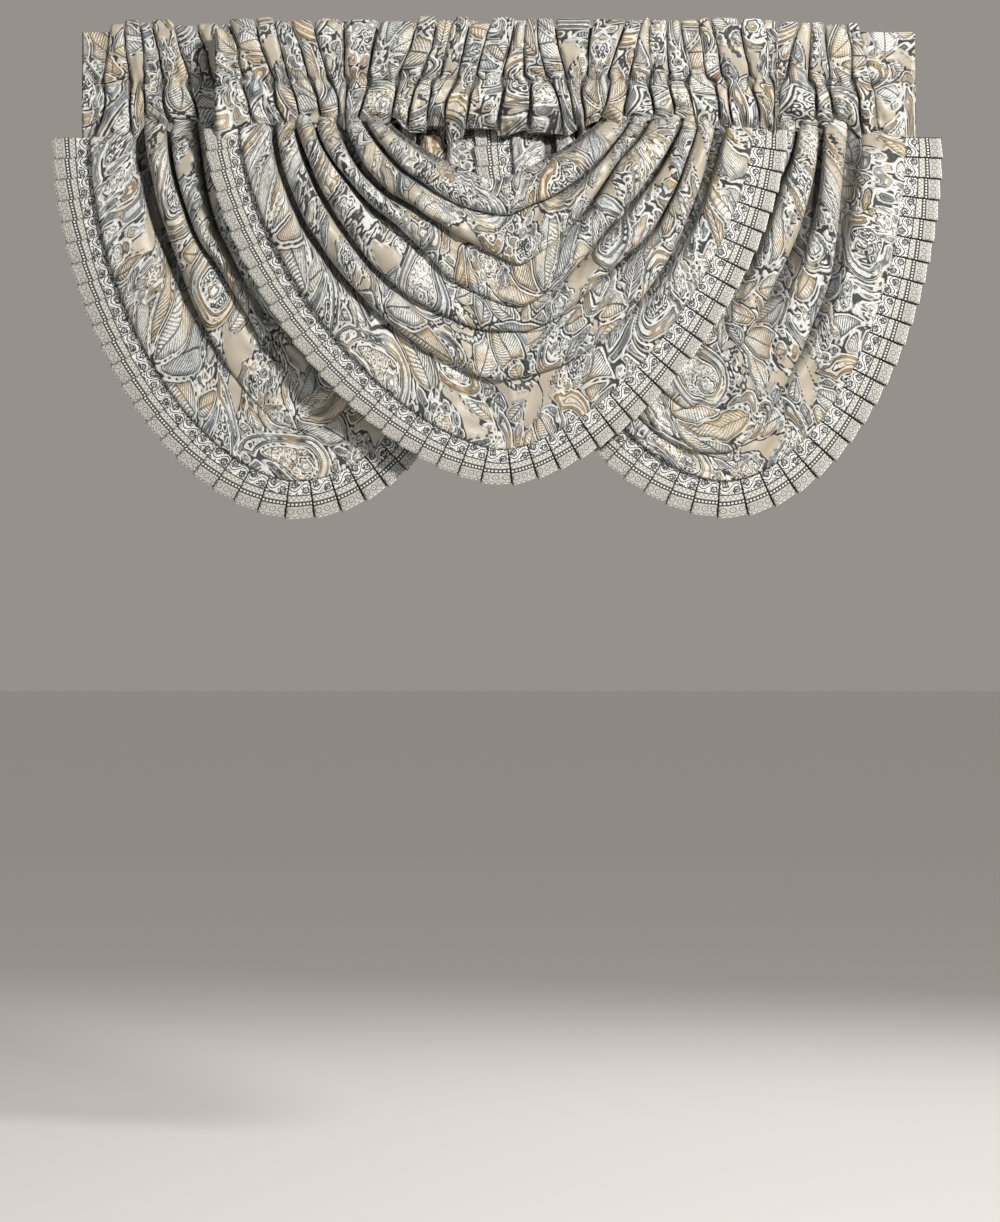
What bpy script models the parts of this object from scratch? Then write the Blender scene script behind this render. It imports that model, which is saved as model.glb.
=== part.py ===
"""Three overlapping swags, each with a gathered rod-pocket heading and a knife-pleated border.

The middle swag hangs from a front rod pocket and the two side swags from rear pockets behind it.
Lengths are in metres. X runs to the right as a viewer sees the drape, -Y towards the viewer, +Z up.
The origin is the middle of the top edge, in the plane of the front pocket.
"""

import math
from collections import namedtuple

import bmesh
import bpy
import numpy as np

# ---- Driving dimensions ----
POCKET_TOP = -0.105
POCKET_BOTTOM = -0.184
REAR_ROD_Y = 0.056  # the rear rod's line, behind the front rod's, which is at y = 0
SEAM_GAP = 0.001  # between a heading's lower edge and the swag sewn to it
CORNER_GAP = 0.007  # further down still, where the border's own top edge passes under the heading
EDGE_GAP = 0.0004  # between a swag's edge and its border
CLOTH = 0.003  # thickness of a swag, measured front to back
BORDER_CLOTH = 0.0025
PLEAT_RAMP = 0.0045  # width of the step where a pleat drops to the next
PLEAT_RISE_INNER = 0.002
PLEAT_RISE_OUTER = 0.0055
PLEAT_FLARE = 0.004  # how far a pleat's leading corner stands out past its trailing corner

# ---- Heading ----
ROD_WAY_HEIGHT = 0.062
ROD_WAY_DEPTH = 0.020
ROD_WAY_SIDES = 12
ROD_WAY_OVERSHOOT = 0.02  # how far the cutter runs past each end
HEADING_CLOTH = 0.005  # the doubled cloth of the frill above the pocket
GATHER_SAMPLES = (0.0, 0.34, 0.66)
END_REACH = 0.12  # the lower edge slopes down over this last stretch towards an outer end
GATHER_SWAY = 0.006  # how far the gathers wander sideways on their way down
Level = namedtuple("Level", "z front gather dip sway")
# One row for each level of the front face: height, how far forward its valleys are, how much
# further its ridges are, how far its valleys sit below its ridges, and its share of the sway.
FRONT_LEVELS = (
    Level(0.0, 0.002, 0.013, 0.007, -0.4),
    Level(-0.050, 0.002, 0.018, 0.0, 0.5),
    Level(POCKET_TOP, 0.005, 0.007, 0.0, 0.0),
    Level(0.5 * (POCKET_TOP + POCKET_BOTTOM), 0.0135, 0.011, 0.0, 1.0),
    Level(POCKET_BOTTOM, 0.004, 0.008, 0.0, 0.6),
)
# Widths of the gathers from left to right. They are scaled a little so that a row fills its heading.
PLAIN_GATHERS = (
    *(0.038, 0.041, 0.035, 0.043, 0.037, 0.040, 0.036),
    *(0.042, 0.038, 0.035, 0.041, 0.037, 0.040),
)
LEFT_GATHERS = (0.052, 0.030, 0.034, 0.048, 0.046) + PLAIN_GATHERS
RIGHT_GATHERS = PLAIN_GATHERS + (0.042, 0.038, 0.043, 0.034)
CENTRE_GATHERS = (
    *(0.051, 0.030, 0.034, 0.029, 0.030, 0.038, 0.062, 0.039, 0.029, 0.034, 0.030, 0.050, 0.041),
    *(0.043, 0.030, 0.034, 0.039, 0.038, 0.036, 0.038, 0.034, 0.034, 0.026, 0.046, 0.038),
)
# The flats are the ungathered stretches at a heading's ends. The drops are how far its lower edge
# slopes down towards each end.
Heading = namedtuple(
    "Heading", "name start end rod_y gathers flat_start flat_end drop_start drop_end seed"
)
HEADING_LEFT = Heading(
    "heading_left", -0.745, -0.003, REAR_ROD_Y, LEFT_GATHERS, 0.032, 0.0, 0.026, 0.0, 1.0
)
HEADING_CENTRE = Heading(
    "heading_centre", -0.504, 0.499, 0.0, CENTRE_GATHERS, 0.055, 0.010, 0.014, 0.014, 2.3
)
HEADING_RIGHT = Heading(
    "heading_right", 0.003, 0.749, REAR_ROD_Y, RIGHT_GATHERS, 0.0, 0.073, 0.0, 0.026, 4.1
)
HEADINGS = (HEADING_LEFT, HEADING_CENTRE, HEADING_RIGHT)

# ---- Swags ----
Row = namedtuple(
    "Row",
    "left_x bottom_x bottom_z right_x left_round right_round left_roll bottom_roll right_roll",
)
# One row for each valley between two rolls of cloth, from the neckline down to the hem. The
# valley runs from a point under the pocket, round its lowest point, up to a point under the
# pocket again. The roundness is the superellipse power of that half: 1 is a straight V, 2 an
# ellipse. The last three columns are the height of the roll below this valley.
CENTRE_ROWS = (
    Row(-0.207, 0.004, -0.286, 0.199, 1.30, 1.15, 0.018, 0.014, 0.018),
    Row(-0.240, 0.022, -0.352, 0.242, 1.45, 1.25, 0.020, 0.012, 0.020),
    Row(-0.274, 0.040, -0.434, 0.272, 1.42, 1.20, 0.020, 0.010, 0.020),
    Row(-0.316, 0.038, -0.500, 0.318, 1.50, 1.36, 0.021, 0.010, 0.020),
    Row(-0.362, 0.050, -0.561, 0.362, 1.65, 1.36, 0.019, 0.010, 0.018),
    Row(-0.396, -0.006, -0.646, 0.384, 1.50, 1.70, 0.010, 0.004, 0.010),
    Row(-0.458, 0.010, -0.764, 0.454, 1.58, 1.58, 0.0, 0.0, 0.0),
)
LEFT_ROWS = (
    Row(-0.470, -0.330, -0.400, -0.246, 1.30, 1.30, 0.016, 0.010, 0.016),
    Row(-0.502, -0.318, -0.500, -0.214, 1.40, 1.35, 0.018, 0.008, 0.017),
    Row(-0.538, -0.305, -0.600, -0.180, 1.58, 1.40, 0.020, 0.008, 0.017),
    Row(-0.583, -0.310, -0.672, -0.146, 1.45, 1.45, 0.020, 0.005, 0.017),
    Row(-0.622, -0.330, -0.722, -0.103, 1.70, 1.60, 0.012, 0.003, 0.012),
    Row(-0.728, -0.358, -0.818, -0.026, 1.78, 2.00, 0.0, 0.0, 0.0),
)
RIGHT_ROWS = (
    Row(0.246, 0.330, -0.400, 0.466, 1.30, 1.30, 0.016, 0.010, 0.016),
    Row(0.214, 0.318, -0.500, 0.498, 1.35, 1.40, 0.017, 0.008, 0.018),
    Row(0.180, 0.306, -0.612, 0.530, 1.40, 1.48, 0.017, 0.008, 0.020),
    Row(0.146, 0.335, -0.680, 0.567, 1.45, 1.54, 0.017, 0.010, 0.020),
    Row(0.103, 0.415, -0.778, 0.632, 2.20, 1.42, 0.012, 0.007, 0.012),
    Row(0.026, 0.406, -0.818, 0.729, 1.84, 1.86, 0.0, 0.0, 0.0),
)
# hang: how far behind the front pocket each end hangs. belly: how far the sheet comes forward.
Swag = namedtuple(
    "Swag",
    "name border heading rows hang_left hang_right belly_neck belly_hem pleats border_width seed",
)
SWAG_LEFT = Swag(
    "swag_left", "border_left", HEADING_LEFT, LEFT_ROWS, 0.056, 0.064, 0.062, 0.064, 43, 0.070, 0.4
)
SWAG_CENTRE = Swag(
    "swag_centre", "border_centre", HEADING_CENTRE, CENTRE_ROWS, 0.0, 0.0, 0.066, 0.054, 45, 0.065, 1.9
)
SWAG_RIGHT = Swag(
    "swag_right", "border_right", HEADING_RIGHT, RIGHT_ROWS, 0.049, 0.056, 0.062, 0.064, 43, 0.068, 3.0
)
SWAGS = (SWAG_LEFT, SWAG_CENTRE, SWAG_RIGHT)
ROLL_SAMPLES = 4  # steps across one roll
ROLL_UNEVEN = 0.22  # how much a roll swells and thins along its length
ROLL_SWAY = 0.15  # how far the rolls wander up and down, as a share of a roll
ROLL_PINCH = 0.45  # 0 is a plain wave; nearer 1 narrows the valleys
ROLL_LEAN = 0.12  # how far a ridge sags towards the hem, as a share of its roll
BELLY_DROP = 0.10  # how fast a swag comes forward below the pocket
CURVE_STEPS = 240  # steps along a valley while its length is measured

# ---- Colours: red, green, blue; roughness ----
PAISLEY = ((0.62, 0.60, 0.55), 0.75)
BORDER = ((0.66, 0.64, 0.58), 0.8)


def clear_scene():
    for obj in list(bpy.data.objects):
        bpy.data.objects.remove(obj)


def make_material(name, colour, roughness):
    material = bpy.data.materials.new(name)
    material.use_nodes = True
    shader = material.node_tree.nodes["Principled BSDF"]
    shader.inputs["Base Color"].default_value = (*colour, 1.0)
    shader.inputs["Roughness"].default_value = roughness
    shader.inputs["Metallic"].default_value = 0.0
    return material


def make_object(name, points, faces, material):
    """A mesh object from a list of points and faces, with its faces turned outwards."""
    mesh = bpy.data.meshes.new(name)
    mesh.from_pydata([tuple(p) for p in points], [], faces)
    shape = bmesh.new()
    shape.from_mesh(mesh)
    bmesh.ops.recalc_face_normals(shape, faces=shape.faces)
    shape.to_mesh(mesh)
    shape.free()
    if material:
        mesh.materials.append(material)
    obj = bpy.data.objects.new(name, mesh)
    bpy.context.scene.collection.objects.link(obj)
    return obj


def slab(name, front, thickness, material):
    """A solid between a grid of front points and the same grid moved back by a thickness.

    front is an array of rows x columns x 3.
    """
    rows, columns = front.shape[:2]
    back = front + np.array([0.0, thickness, 0.0])
    points = np.concatenate([front.reshape(-1, 3), back.reshape(-1, 3)])
    behind = rows * columns
    faces = []
    for r in range(rows - 1):
        for c in range(columns - 1):
            a = r * columns + c
            b, d = a + 1, a + columns
            faces.append((a, b, d + 1, d))
            faces.append((a + behind, d + behind, d + 1 + behind, b + behind))
    top = list(range(columns))
    right = [r * columns + columns - 1 for r in range(1, rows)]
    bottom = [(rows - 1) * columns + c for c in range(columns - 2, -1, -1)]
    left = [r * columns for r in range(rows - 2, 0, -1)]
    rim = top + right + bottom + left
    for a, b in zip(rim, rim[1:] + rim[:1]):
        faces.append((b, a, a + behind, b + behind))
    return make_object(name, points, faces, material)


def pinched(w, lean=0.0):
    """Where a point w of the way across a roll lies: valleys are narrow, and the ridge leans over."""
    return w - ROLL_PINCH * np.sin(2 * math.pi * w) / (2 * math.pi) + lean * np.sin(math.pi * w) ** 2


# ---- Swags ----


def heading_bottom(heading, x):
    """The height of a heading's lower edge at x: it slopes down towards its outer ends."""
    from_start = max(0.0, 1.0 - (x - heading.start) / END_REACH)
    from_end = max(0.0, 1.0 - (heading.end - x) / END_REACH)
    return POCKET_BOTTOM - heading.drop_start * from_start - heading.drop_end * from_end


def valley_curves(swag, steps=CURVE_STEPS):
    """For each row, points evenly spaced along its valley: array rows x (steps + 1) x 2 of (x, z)."""
    angle = np.linspace(0.0, 0.5 * math.pi, 4 * steps)
    even = np.linspace(0.0, 1.0, steps + 1)
    curves = []
    for row in swag.rows:
        gap = SEAM_GAP + (CORNER_GAP if row is swag.rows[-1] else 0.0)
        half = []
        for x, power in ((row.left_x, row.left_round), (row.right_x, row.right_round)):
            z = heading_bottom(swag.heading, x) - gap
            over = 1.0 - np.cos(angle) ** (2.0 / power)
            down = np.sin(angle) ** (2.0 / power)
            half.append(
                np.stack([x + (row.bottom_x - x) * over, z + (row.bottom_z - z) * down], axis=1)
            )
        line = np.concatenate([half[0], half[1][-2::-1]])
        along = np.concatenate([[0.0], np.cumsum(np.linalg.norm(np.diff(line, axis=0), axis=1))])
        along /= along[-1]
        curves.append(np.stack([np.interp(even, along, line[:, k]) for k in range(2)], axis=1))
    return np.array(curves)


def on_curves(curves, u, v):
    """The (x, z) points at u along and v across a stack of curves, both arrays of one shape."""
    rows, columns = curves.shape[0] - 1, curves.shape[1] - 1
    v = np.clip(v, 0.0, rows)
    i = np.minimum(v.astype(int), rows - 1)
    j = np.minimum((u * columns).astype(int), columns - 1)
    s, t = (v - i)[..., None], (u * columns - j)[..., None]
    near = curves[i, j] * (1 - t) + curves[i, j + 1] * t
    far = curves[i + 1, j] * (1 - t) + curves[i + 1, j + 1] * t
    return near * (1 - s) + far * s


def along_swag(u, left, bottom, right):
    """A value that goes from left through bottom to right as u goes from 0 to 1."""
    side = np.where(u < 0.5, left, right)
    share = np.sin(math.pi * u) ** 1.5
    return side + (bottom - side) * share


def swag_depth(swag, u, v, z):
    """How far back the plain sheet lies, before its rolls: it leaves the pocket and comes forward."""
    last = len(swag.rows) - 1
    hang = swag.hang_left + (swag.hang_right - swag.hang_left) * u
    belly = swag.belly_neck + (swag.belly_hem - swag.belly_neck) * v / last
    drop = np.maximum(POCKET_BOTTOM - z, 0.0)
    return hang - belly * (1.0 - np.exp(-drop / BELLY_DROP))


def swag_points(swag, u, v):
    """Points of the swag's front face at grid coordinates u along and v across."""
    curves = valley_curves(swag)
    last = len(swag.rows) - 1
    i = np.minimum(v.astype(int), last - 1)
    w = v - i
    heights = np.array([[r.left_roll, r.bottom_roll, r.right_roll] for r in swag.rows])
    height = along_swag(u, heights[i, 0], heights[i, 1], heights[i, 2])
    height = height * (1.0 + ROLL_UNEVEN * np.sin(9.0 * u + 2.1 * i + swag.seed))
    sway = ROLL_SWAY * np.sin(13.0 * u + 1.9 * v + swag.seed) * np.sin(math.pi * v / last)
    flat = on_curves(curves, u, i + pinched(w, ROLL_LEAN) + sway)
    depth = swag_depth(swag, u, v, flat[..., 1])
    depth = depth - height * 0.5 * (1.0 - np.cos(2 * math.pi * w))
    return np.stack([flat[..., 0], depth, flat[..., 1]], axis=-1)


def build_swag(swag, material):
    across = np.linspace(0.0, 1.0, swag.pleats + 1)
    down = np.linspace(0.0, len(swag.rows) - 1, (len(swag.rows) - 1) * ROLL_SAMPLES + 1)
    v, u = np.meshgrid(down, across, indexing="ij")
    return slab(swag.name, swag_points(swag, u, v), CLOTH, material)


def build_border(swag, material):
    """The knife-pleated border round a swag's hem: each pleat's leading edge lies on the one before."""
    hem = valley_curves(swag)[-1]
    tangent = np.gradient(hem, axis=0)
    tangent /= np.linalg.norm(tangent, axis=1)[:, None]
    outward = np.stack([tangent[:, 1], -tangent[:, 0]], axis=1)
    length = np.linalg.norm(np.diff(hem, axis=0), axis=1).sum()
    ramp = PLEAT_RAMP / (length / swag.pleats)
    starts = np.arange(swag.pleats)
    stops = np.stack([starts + 0.5 * ramp, starts + 1.0 - 0.5 * ramp], axis=1).reshape(-1)
    raised = np.tile([1.0, 0.0], swag.pleats)
    u = stops / swag.pleats
    u[0], u[-1] = 0.0, 1.0
    where = np.linspace(0.0, 1.0, len(hem))
    sewn = np.stack([np.interp(u, where, hem[:, k]) for k in range(2)], axis=1)
    out = np.stack([np.interp(u, where, outward[:, k]) for k in range(2)], axis=1)
    depth = swag_depth(swag, u, np.full_like(u, len(swag.rows) - 1), sewn[:, 1])
    edges = []
    for distance, rise in ((EDGE_GAP, PLEAT_RISE_INNER), (swag.border_width, PLEAT_RISE_OUTER)):
        share = distance / swag.border_width
        reach = distance + PLEAT_FLARE * share * (raised - 1.0)
        flat = sewn + out * reach[:, None]
        edges.append(np.stack([flat[:, 0], depth - rise * raised, flat[:, 1]], axis=1))
    return slab(swag.border, np.array(edges), BORDER_CLOTH, material)


# ---- Headings ----


def gather_edges(heading):
    """Where each gather starts and ends."""
    start, end = heading.start + heading.flat_start, heading.end - heading.flat_end
    along = np.cumsum((0.0, *heading.gathers))
    return start + (end - start) * along / along[-1]


def heading_columns(heading):
    """For each column of the heading: its x, how far it is up a ridge (0 to 1), lift and sway."""
    edges = gather_edges(heading)
    columns = []
    if heading.flat_start:
        columns.append((heading.start, 0.35, 0.0, 0.0))
    for k, (near, far) in enumerate(zip(edges, edges[1:])):
        tall = 0.80 + 0.20 * math.sin(3.7 * k + heading.seed)
        lift = 0.005 * math.sin(2.9 * k + 3.0 * heading.seed)
        for w in GATHER_SAMPLES:
            up = 0.5 * (1.0 - math.cos(2 * math.pi * w))
            inner = math.sin(math.pi * (k + w) / len(heading.gathers))
            sway = GATHER_SWAY * inner * math.sin(1.9 * (k + w) + heading.seed)
            columns.append((near + (far - near) * pinched(w), tall * up, lift, sway))
    columns.append((edges[-1], 0.0, 0.0, 0.0))
    if heading.flat_end:
        columns.append((heading.end, 0.35, 0.0, 0.0))
    return columns


def heading_loop(heading, x, up, lift, sway):
    """The outline of the heading at one column, from its top edge down its front and up its back."""
    frill, stitch, pocket, hem = FRONT_LEVELS[1:]
    front = [
        [
            x + level.sway * sway,
            heading.rod_y - level.front - level.gather * up,
            level.z - level.dip * (1.0 - up),
        ]
        for level in FRONT_LEVELS
    ]
    front[0][2] += lift
    front[-1][2] = heading_bottom(heading, front[-1][0])
    back = [
        (front[4][0], heading.rod_y + hem.front, front[4][2]),
        (front[3][0], heading.rod_y + pocket.front + 0.7 * pocket.gather * up, pocket.z),
        (front[2][0], heading.rod_y + stitch.front, stitch.z),
        (front[1][0], front[1][1] + HEADING_CLOTH, frill.z),
        (front[0][0], front[0][1] + HEADING_CLOTH, front[0][2]),
    ]
    return front + back


def rod_way(heading, middle_z):
    """A long oval bar through the pocket, used as a cutter."""
    ends = []
    for x in (heading.start - ROD_WAY_OVERSHOOT, heading.end + ROD_WAY_OVERSHOOT):
        ring = []
        for k in range(ROD_WAY_SIDES):
            angle = 2 * math.pi * (k + 0.5) / ROD_WAY_SIDES
            y = heading.rod_y + 0.5 * ROD_WAY_DEPTH * math.cos(angle)
            z = middle_z + 0.5 * ROD_WAY_HEIGHT * math.sin(angle)
            ring.append((x, y, z))
        ends.append(ring)
    n = ROD_WAY_SIDES
    faces = [(k, (k + 1) % n, n + (k + 1) % n, n + k) for k in range(n)]
    faces += [tuple(range(n)), tuple(range(2 * n - 1, n - 1, -1))]
    cutter = make_object(heading.name + "_rod_way", ends[0] + ends[1], faces, None)
    cutter.hide_render = True
    cutter.display_type = "WIRE"
    return cutter


def build_heading(heading, material):
    loops = [heading_loop(heading, *column) for column in heading_columns(heading)]
    n = len(loops[0])
    points = [p for loop in loops for p in loop]
    faces = []
    for c in range(len(loops) - 1):
        for k in range(n):
            a, b = c * n + k, c * n + (k + 1) % n
            faces.append((a, b, b + n, a + n))
    faces.append(tuple(range(n)))
    faces.append(tuple(range((len(loops) - 1) * n, len(loops) * n))[::-1])
    obj = make_object(heading.name, points, faces, material)
    cut = obj.modifiers.new("rod way", "BOOLEAN")
    cut.operation = "DIFFERENCE"
    cut.solver = "EXACT"
    cut.object = rod_way(heading, FRONT_LEVELS[3].z)
    return obj


def main():
    clear_scene()
    paisley = make_material("paisley_cloth", *PAISLEY)
    border = make_material("border_cloth", *BORDER)
    for heading in HEADINGS:
        build_heading(heading, paisley)
    for swag in SWAGS:
        build_swag(swag, paisley)
        build_border(swag, border)


main()
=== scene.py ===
"""Looks for the three-swag valance: gathered headings, draped swags and knife-pleated borders.

Lengths are in metres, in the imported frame: +X to the viewer's right, -Y towards the viewer, +Z up,
with the origin at the middle of the top edge, in the plane of the front rod pocket.
"""

import math
from collections import namedtuple

import bpy
import numpy as np
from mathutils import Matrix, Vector


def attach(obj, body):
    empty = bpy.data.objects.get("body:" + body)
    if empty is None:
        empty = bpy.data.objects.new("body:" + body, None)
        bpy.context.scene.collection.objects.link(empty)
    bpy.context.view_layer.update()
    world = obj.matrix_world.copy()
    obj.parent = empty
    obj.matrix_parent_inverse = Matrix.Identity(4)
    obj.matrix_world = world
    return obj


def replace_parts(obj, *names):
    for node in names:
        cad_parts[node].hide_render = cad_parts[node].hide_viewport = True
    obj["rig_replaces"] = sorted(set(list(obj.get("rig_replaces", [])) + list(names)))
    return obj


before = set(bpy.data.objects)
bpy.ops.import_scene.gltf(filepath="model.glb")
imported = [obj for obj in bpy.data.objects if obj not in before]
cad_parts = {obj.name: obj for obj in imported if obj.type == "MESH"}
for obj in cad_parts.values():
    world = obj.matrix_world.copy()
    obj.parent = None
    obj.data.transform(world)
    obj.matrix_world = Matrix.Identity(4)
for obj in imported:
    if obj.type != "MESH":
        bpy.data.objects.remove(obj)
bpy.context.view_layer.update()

# ---------------- sizes shared with the solids

POCKET_TOP = -0.105
POCKET_BOTTOM = -0.184
REAR_ROD_Y = 0.056
END_REACH = 0.12  # a heading's lower edge slopes down over this last stretch towards an outer end

# The gathers' widths from left to right, before they are scaled to fill their heading.
PLAIN_GATHERS = (
    *(0.038, 0.041, 0.035, 0.043, 0.037, 0.040, 0.036),
    *(0.042, 0.038, 0.035, 0.041, 0.037, 0.040),
)
LEFT_GATHERS = (0.052, 0.030, 0.034, 0.048, 0.046) + PLAIN_GATHERS
RIGHT_GATHERS = PLAIN_GATHERS + (0.042, 0.038, 0.043, 0.034)
CENTRE_GATHERS = (
    *(0.051, 0.030, 0.034, 0.029, 0.030, 0.038, 0.062, 0.039, 0.029, 0.034, 0.030, 0.050, 0.041),
    *(0.043, 0.030, 0.034, 0.039, 0.038, 0.036, 0.038, 0.034, 0.034, 0.026, 0.046, 0.038),
)
# A heading runs in x from start to end. At each end it may have a flat stretch without gathers, and
# a lower edge that drops.
Heading = namedtuple(
    "Heading", "node start end rod_y gathers flat_start flat_end drop_start drop_end seed"
)
HEADING_LEFT = Heading(
    "heading_left", -0.745, -0.003, REAR_ROD_Y, LEFT_GATHERS, 0.032, 0.0, 0.026, 0.0, 1.0
)
HEADING_CENTRE = Heading(
    "heading_centre", -0.504, 0.499, 0.0, CENTRE_GATHERS, 0.055, 0.010, 0.014, 0.014, 2.3
)
HEADING_RIGHT = Heading(
    "heading_right", 0.003, 0.749, REAR_ROD_Y, RIGHT_GATHERS, 0.0, 0.073, 0.0, 0.026, 4.1
)

# One row for each valley between two rolls of a swag, from the neckline down to the hem. A valley
# runs from a point under the pocket, round its lowest point, up to a point under the pocket again.
# The roundness is the superellipse power of that half. The last three columns are the height of
# the roll below this valley.
Row = namedtuple(
    "Row",
    "left_x bottom_x bottom_z right_x left_round right_round left_roll bottom_roll right_roll",
)
CENTRE_ROWS = (
    Row(-0.207, 0.004, -0.286, 0.199, 1.30, 1.15, 0.018, 0.014, 0.018),
    Row(-0.240, 0.022, -0.352, 0.242, 1.45, 1.25, 0.020, 0.012, 0.020),
    Row(-0.274, 0.040, -0.434, 0.272, 1.42, 1.20, 0.020, 0.010, 0.020),
    Row(-0.316, 0.038, -0.500, 0.318, 1.50, 1.36, 0.021, 0.010, 0.020),
    Row(-0.362, 0.050, -0.561, 0.362, 1.65, 1.36, 0.019, 0.010, 0.018),
    Row(-0.396, -0.006, -0.646, 0.384, 1.50, 1.70, 0.010, 0.004, 0.010),
    Row(-0.458, 0.010, -0.764, 0.454, 1.58, 1.58, 0.0, 0.0, 0.0),
)
LEFT_ROWS = (
    Row(-0.470, -0.330, -0.400, -0.246, 1.30, 1.30, 0.016, 0.010, 0.016),
    Row(-0.502, -0.318, -0.500, -0.214, 1.40, 1.35, 0.018, 0.008, 0.017),
    Row(-0.538, -0.305, -0.600, -0.180, 1.58, 1.40, 0.020, 0.008, 0.017),
    Row(-0.583, -0.310, -0.672, -0.146, 1.45, 1.45, 0.020, 0.005, 0.017),
    Row(-0.622, -0.330, -0.722, -0.103, 1.70, 1.60, 0.012, 0.003, 0.012),
    Row(-0.728, -0.358, -0.818, -0.026, 1.78, 2.00, 0.0, 0.0, 0.0),
)
RIGHT_ROWS = (
    Row(0.246, 0.330, -0.400, 0.466, 1.30, 1.30, 0.016, 0.010, 0.016),
    Row(0.214, 0.318, -0.500, 0.498, 1.35, 1.40, 0.017, 0.008, 0.018),
    Row(0.180, 0.306, -0.612, 0.530, 1.40, 1.48, 0.017, 0.008, 0.020),
    Row(0.146, 0.335, -0.680, 0.567, 1.45, 1.54, 0.017, 0.010, 0.020),
    Row(0.103, 0.415, -0.778, 0.632, 2.20, 1.42, 0.012, 0.007, 0.012),
    Row(0.026, 0.406, -0.818, 0.729, 1.84, 1.86, 0.0, 0.0, 0.0),
)
Swag = namedtuple(
    "Swag",
    "node border heading rows hang_left hang_right belly_neck belly_hem pleats border_width seed",
)
SWAG_LEFT = Swag(
    "swag_left", "border_left", HEADING_LEFT, LEFT_ROWS, 0.056, 0.064, 0.062, 0.064, 43, 0.070, 0.4
)
SWAG_CENTRE = Swag(
    "swag_centre", "border_centre", HEADING_CENTRE, CENTRE_ROWS, 0.0, 0.0, 0.066, 0.054, 45, 0.065, 1.9
)
SWAG_RIGHT = Swag(
    "swag_right", "border_right", HEADING_RIGHT, RIGHT_ROWS, 0.049, 0.056, 0.062, 0.064, 43, 0.068, 3.0
)
BELLY_DROP = 0.10  # how far below the pocket a swag has come most of the way forward
ROLL_UNEVEN = 0.22  # the share by which a roll's height rises and falls along it
ROLL_SWAY, ROLL_WANDER = 0.15, 0.10  # how far a roll strays, in widths of a roll
PLEAT_FLARE = 0.004

# ---------------- finer sizes of the cloth

CLOTH, BORDER_CLOTH = 0.0012, 0.0008  # thickness
SWAG_ACROSS = 350
ROLL_SAMPLES = 22
ROLL_SCALE = 1.35
SIDE_ROUND, BOTTOM_ROUND = 0.6, 0.4  # a roll's height for its width, to space its points evenly
SLOT_MEAN, SLOT_UNEVEN, SLOT_SHIFT = 0.95, 0.55, 0.28  # how the slots between rolls vary in width
SEAM_EASE, SEAM_FORWARD = 0.010, 0.005  # how far below the seam folds begin, and how far it stands out
CREASE, SMALL_CREASE, RIPPLE = 0.0070, 0.0042, 0.0016
LEAST_RISE = 0.45  # a step from row to row rises by at least this share of its length
SWAG_TUCK = 0.024  # how far a swag's folds reach up into the pocket that they are sewn to
HEM_TUCK = 0.004  # and how far its hem and border do
CURVE_STEPS = 240

Stop = namedtuple("Stop", "place height")
# Sections through one roll of a swag: place across it, from 0 to 1, and share of its height. At the
# sides the roll hangs over the deep slot that parts it from the next; at the bottom it is soft.
SIDE_ROLL = (
    Stop(0.00, -1.15),
    Stop(0.10, -1.14),
    Stop(0.22, -1.00),
    Stop(0.27, -0.30),
    Stop(0.31, 0.36),
    Stop(0.36, 0.70),
    Stop(0.46, 0.90),
    Stop(0.60, 1.00),
    Stop(0.76, 0.98),
    Stop(0.90, 0.84),
    Stop(1.01, 0.58),
    Stop(1.05, 0.20),
    Stop(1.03, -0.35),
    Stop(1.00, -1.10),
)
BOTTOM_ROLL = (
    Stop(0.00, -0.25),
    Stop(0.03, -0.16),
    Stop(0.07, 0.05),
    Stop(0.13, 0.25),
    Stop(0.22, 0.43),
    Stop(0.35, 0.62),
    Stop(0.50, 0.80),
    Stop(0.65, 0.94),
    Stop(0.80, 1.00),
    Stop(0.92, 0.90),
    Stop(1.00, 0.62),
    Stop(1.02, 0.30),
    Stop(1.00, 0.00),
    Stop(1.00, -0.25),
)
# A section through one gather of a heading: it bulges a little over the slots at its sides.
GATHER_SECTION = (
    Stop(0.00, -0.12),
    Stop(0.060, -0.06),
    Stop(0.082, 0.22),
    Stop(0.060, 0.56),
    Stop(0.090, 0.79),
    Stop(0.18, 0.94),
    Stop(0.33, 0.99),
    Stop(0.50, 1.00),
    Stop(0.67, 0.99),
    Stop(0.82, 0.94),
    Stop(0.910, 0.79),
    Stop(0.940, 0.56),
    Stop(0.918, 0.22),
    Stop(0.940, -0.06),
    Stop(1.00, -0.12),
)
GATHER_SAMPLES = 2  # between two stops


# ---------------- small helpers

LATTICE_SIZE = 64
LATTICE = np.random.default_rng(7).uniform(-1.0, 1.0, (LATTICE_SIZE, LATTICE_SIZE))


def soft_noise(x, y):
    """Smooth noise between -1 and 1 with about one bump per unit."""
    x, y = np.broadcast_arrays(np.asarray(x, float), np.asarray(y, float))
    i, j = np.floor(x).astype(int), np.floor(y).astype(int)
    s, t = x - i, y - j
    s, t = s * s * (3 - 2 * s), t * t * (3 - 2 * t)
    i0, j0, i1, j1 = i % LATTICE_SIZE, j % LATTICE_SIZE, (i + 1) % LATTICE_SIZE, (j + 1) % LATTICE_SIZE
    near = LATTICE[i0, j0] * (1 - s) + LATTICE[i1, j0] * s
    far = LATTICE[i0, j1] * (1 - s) + LATTICE[i1, j1] * s
    return near * (1 - t) + far * t


def smoothstep(low, high, x):
    t = np.clip((x - low) / (high - low), 0.0, 1.0)
    return t * t * (3 - 2 * t)


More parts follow.
